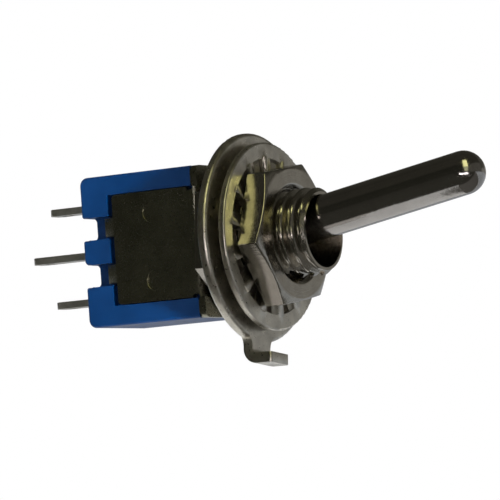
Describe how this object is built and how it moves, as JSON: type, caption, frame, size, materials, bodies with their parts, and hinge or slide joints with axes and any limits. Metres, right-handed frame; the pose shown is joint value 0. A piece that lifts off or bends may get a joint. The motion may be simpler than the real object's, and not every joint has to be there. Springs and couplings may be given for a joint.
{
  "type": "panel toggle switch",
  "caption": "Sub-miniature panel toggle switch: blue moulded body in a folded steel frame, threaded bushing with nuts and washers, round bat lever, solder-lug terminals.",
  "frame": {"origin": "on the bushing axis at the outer face of the frame's top plate, where the bushing starts", "axes": "+X out along the bushing towards the lever, +Z the way the lever leans at rest and the long way of the body, -Y the wide face that the picture shows"},
  "size_m": [0.0279, 0.0112, 0.0125],
  "materials": {
    "blue_moulding": "moulded, slightly rough",
    "frame_steel": "dull plated sheet",
    "nickel_plate": "bright nickel plate",
    "bright_plate": "polished nickel plate",
    "white_moulding": "moulded",
    "spring_wire": "drawn wire",
    "contact_strip": "stamped strip",
    "tinned_brass": "tin plate",
    "contact_metal": "silver",
    "potting": "cast resin"
  },
  "bodies": {
    "base": {"housing": "blue_moulding", "frame": "frame_steel", "bushing": "nickel_plate", "terminal_common": "tinned_brass", "terminal_upper": "tinned_brass", "terminal_lower": "tinned_brass", "contact_upper": "contact_metal", "contact_lower": "contact_metal", "seal_upper": "potting", "seal_common": "potting", "seal_lower": "potting"},
    "lever": {"lever": "bright_plate", "plunger_spring": "spring_wire"},
    "plunger": {"plunger": "white_moulding"},
    "rocker": {"rocker": "contact_strip"},
    "locating_washer": {"locating_washer": "nickel_plate"},
    "back_nut": {"back_nut": "nickel_plate"},
    "lock_washer": {"lock_washer": "nickel_plate"},
    "front_nut": {"front_nut": "nickel_plate"}
  },
  "joints": [
    {"name": "lever_toggle", "type": "hinge", "parent": "base", "child": "lever", "pos_m": [0.0019, 0, 0], "axis": [0, 1, 0], "range_deg": [0, 19.6]},
    {"name": "plunger_slide", "type": "slide", "parent": "lever", "child": "plunger", "axis": [0.9854, 0, 0.1702], "range_m": [0, 0.0003], "stiffness_N_per_m": 300, "deforming": ["plunger_spring"]},
    {"name": "rocker_tilt", "type": "hinge", "parent": "base", "child": "rocker", "pos_m": [-0.00465, 0, 0], "axis": [0, 1, 0], "range_deg": [-14, 0]},
    {"name": "front_washer_slide", "type": "slide", "parent": "base", "child": "lock_washer", "axis": [1, 0, 0], "range_m": [0, 0.0014]},
    {"name": "front_nut_turn", "type": "hinge", "parent": "lock_washer", "child": "front_nut", "pos_m": [0.0037, 0, 0], "axis": [1, 0, 0], "range_deg": [0, 793.7]},
    {"name": "back_washer_slide", "type": "slide", "parent": "base", "child": "locating_washer", "axis": [1, 0, 0], "range_m": [-0.00018, 0]},
    {"name": "back_nut_turn", "type": "hinge", "parent": "locating_washer", "child": "back_nut", "pos_m": [0.0008, 0, 0], "axis": [1, 0, 0], "range_deg": [-102.05, 0]}
  ],
  "couplings": [
    {"joint": "rocker_tilt", "follows": "lever_toggle", "ratio": -0.71429},
    {"joint": "front_nut_turn", "follows": "front_washer_slide", "rad_per_m": 9894.8},
    {"joint": "back_nut_turn", "follows": "back_washer_slide", "rad_per_m": 9894.8}
  ]
}
